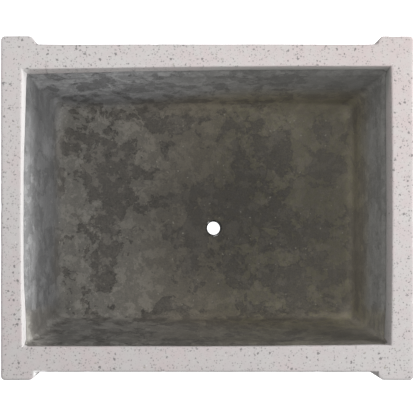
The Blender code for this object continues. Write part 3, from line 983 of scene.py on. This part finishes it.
def coat_material():
    """Brushed dark slurry: grey up the walls under a painted cool skylight tint, olive-brown and blotched
    over the floor, and paler and darker in places with painted light and shade.
    """
    s = Surface("slurry_surface", specular=0.35)
    at = CoatZones(s)
    coarse = s.plus(s.noise(0.036, 10.0, 0.68, distortion=0.3), stain_bias(s, at))
    patches = s.ramp(coarse, 0.484, 0.500)
    mottle = s.ramp(s.noise(0.0050, 5.0, 0.70), 0.36, 0.64)
    stroke = brush_strokes(s, at)
    tone = s.plus(coat_tone(s, at, coarse, patches, mottle), stroke)
    value = s.times(coat_paleness_and_painted_light(s, at), tone)
    grey = s.add("ShaderNodeCombineColor", {0: value, 1: value, 2: value}).outputs[0]
    color = s.shaded(coat_tint(s, at, patches, mottle), grey)

    specks, speck_tint = s.chips(0.0066, 0.00110, 0.46, 0.6, s.times(at.wander, 1.5))
    color = s.mix(s.times(specks, 0.56), color, s.mix(speck_tint, SPECK_DARK, SPECK_LIGHT))
    crumbs = s.chips(0.0085, 0.0012, 0.34, 0.9, s.times(at.wander, -1.5))[0]
    color = s.mix(s.times(crumbs, 0.50), color, CRUMB)

    fine = s.noise(0.0016, 3.0, 0.6)
    relief = s.times_plus(patches, 0.35, s.times_plus(fine, 0.35, s.times(mottle, 0.5)))
    relief = s.plus(s.times_plus(specks, 0.4, relief), s.times(stroke, 1.2))
    return s.finish(color, s.ramp(mottle, 0.0, 1.0, 0.58, 0.74), s.bump(relief, 0.00040, 0.8))


def cement_material():
    """Plain grey cement backing, with sand grains and air holes."""
    s = Surface("cement_surface", specular=0.3)
    cloud = s.ramp(s.noise(0.030, 4.0), 0.35, 0.65)
    color = s.mix(cloud, (0.290, 0.288, 0.280), (0.360, 0.355, 0.342))
    grains, tint = s.chips(0.0022, 0.0007, 0.6, 0.5)
    grain_color = s.mix(tint, (0.200, 0.190, 0.175), (0.450, 0.440, 0.420))
    color = s.mix(s.times(grains, 0.5), color, grain_color)
    holes = s.chips(0.0100, 0.0010, 0.5, 0.3)[0]
    color = s.mix(s.times(holes, 0.8), color, (0.120, 0.118, 0.112))
    height = s.minus(s.times(grains, 0.4), holes)
    return s.finish(color, s.ramp(cloud, 0.0, 1.0, 0.85, 0.95), s.bump(height, 0.0004, 0.8))


def pipe_material():
    """Black plastic pipe, scuffed and dusted with slurry round its lip."""
    s = Surface("pipe_surface", specular=0.5)
    scuff = s.ramp(s.noise(0.0022, 4.0, vector=s.stretched((1.0, 1.0, 0.25))), 0.40, 0.62)
    dust = s.ramp(s.axes()[2], PIPE_TOP - 0.0035, PIPE_TOP, 0.0, 0.55)
    dust = s.times(dust, s.ramp(s.noise(0.0030, 3.0), 0.42, 0.62))
    color = s.mix(scuff, (0.012, 0.012, 0.012), (0.026, 0.025, 0.024))
    color = s.mix(dust, color, (0.085, 0.078, 0.066))
    return s.finish(color, s.ramp(scuff, 0.0, 1.0, 0.38, 0.60), s.bump(scuff, 0.00008, 0.6))


def steel_material():
    """Drawn steel wire with thin brown rust in patches."""
    s = Surface("wire_surface", metallic=1.0)
    rust = s.ramp(s.noise(0.0060, 5.0, 0.65), 0.46, 0.60)
    color = s.mix(rust, (0.400, 0.385, 0.365), (0.190, 0.095, 0.045))
    s.put(s.shader.inputs["Metallic"], s.ramp(rust, 0.0, 1.0, 1.0, 0.15))
    lines = s.noise(0.0006, 2.0)
    normal = s.bump(s.plus(lines, rust), 0.0001, 0.6)
    return s.finish(color, s.ramp(rust, 0.0, 1.0, 0.38, 0.85), normal)


def paint(piece, material):
    """Give a piece one material over its whole surface."""
    for index in range(max(1, len(piece.material_slots))):
        if not piece.material_slots:
            piece.data.materials.append(material)
        piece.material_slots[index].link = "OBJECT"
        piece.material_slots[index].material = material


paint(casting, terrazzo_material())
paint(coat, coat_material())
paint(pipe, pipe_material())
paint(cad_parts["cement_core"], cement_material())
steel = steel_material()
for name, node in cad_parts.items():
    if name.startswith(("hoop_", "cross_stirrup_", "long_stirrup_")):
        paint(node, steel)


# ---------------------------------------------------------------- floor, lights and camera

FLOOR_SIZE, FLOOR_LEVEL = 12.0, -0.0004
FLOOR_GLOW, DRAIN_GLOW = 0.62, 1.2
CAMERA_PLACE = (-0.034, -0.043, 1.440)
FIELD_AT_RIM = 0.4833
SENSOR_WIDTH = 36.0
SHIFT_X, SHIFT_Y = 0.0718, 0.0892


def build_floor():
    """A plain pale floor, with a bright patch under the drain hole so that light shows through it.

    It is there for the camera alone, and only from above: the trough's underside can be seen from
    below, in the world's light.
    """
    size, z = FLOOR_SIZE, FLOOR_LEVEL
    points = [(-size, -size, z), (size, -size, z), (size, size, z), (-size, size, z)]
    floor = mesh_piece("floor", points, [(0, 1, 2, 3)], 30)
    s = Surface("floor_surface", roughness=0.9, specular=0.1)
    seen = s.add("ShaderNodeLightPath").outputs["Is Camera Ray"]
    s.put(s.shader.inputs["Base Color"], (0.86, 0.86, 0.86))
    x, y, z = s.axes()
    away = s.span(s.minus(x, DRAIN.x), s.minus(y, DRAIN.y))
    s.put(s.shader.inputs["Emission Color"], (1.0, 1.0, 1.0))
    s.put(s.shader.inputs["Emission Strength"], s.ramp(away, 0.016, 0.030, DRAIN_GLOW, FLOOR_GLOW))
    above = s.minus(1.0, s.add("ShaderNodeNewGeometry").outputs["Backfacing"])
    clear = s.add("ShaderNodeBsdfTransparent").outputs[0]
    shown = s.times(seen, above)
    skin = s.add("ShaderNodeMixShader", {0: shown, 1: clear, 2: s.shader.outputs[0]}).outputs[0]
    s.put(s.tree.nodes["Material Output"].inputs["Surface"], skin)
    paint(floor, s.material)


def area_light(name, place, target, width, height, watts, color=(1.0, 1.0, 1.0)):
    light = bpy.data.lights.new(name, "AREA")
    light.shape = "RECTANGLE"
    light.size, light.size_y = width, height
    light.energy = watts
    light.color = color
    lamp = bpy.data.objects.new(name, light)
    lamp.location = place
    lamp.rotation_euler = (Vector(target) - Vector(place)).to_track_quat("-Z", "Y").to_euler()
    lamp.visible_camera = False
    bpy.context.scene.collection.objects.link(lamp)


def build_world(strength):
    world = bpy.data.worlds.new("studio")
    bpy.context.scene.world = world
    world.use_nodes = True
    background = world.node_tree.nodes["Background"]
    background.inputs["Color"].default_value = (0.98, 0.99, 1.0, 1.0)
    background.inputs["Strength"].default_value = strength


build_floor()
build_world(0.35)
area_light("side_softbox", (1.30, 0.32, 0.52), (0.0, 0.0, 0.14), 1.00, 0.70, 24.0)
area_light("left_fill", (-1.15, 0.45, 0.80), (0.10, 0.0, 0.12), 0.80, 0.60, 3.5)
area_light("front_fill", (0.40, -1.25, 0.62), (0.0, 0.0, 0.10), 0.90, 0.60, 4.0)
area_light("top_softbox", (0.10, 0.10, 1.75), (0.0, 0.0, 0.18), 1.10, 1.10, 13.0)

camera = bpy.data.objects.new("camera", bpy.data.cameras.new("camera"))
bpy.context.scene.collection.objects.link(camera)
camera.location = CAMERA_PLACE
camera.data.sensor_width = SENSOR_WIDTH
camera.data.lens = SENSOR_WIDTH * (CAMERA_PLACE[2] - HEIGHT) / FIELD_AT_RIM
camera.data.shift_x, camera.data.shift_y = SHIFT_X, SHIFT_Y
camera.data.clip_start, camera.data.clip_end = 0.05, 60.0
bpy.context.scene.camera = camera
bpy.context.scene.view_settings.view_transform = "Standard"
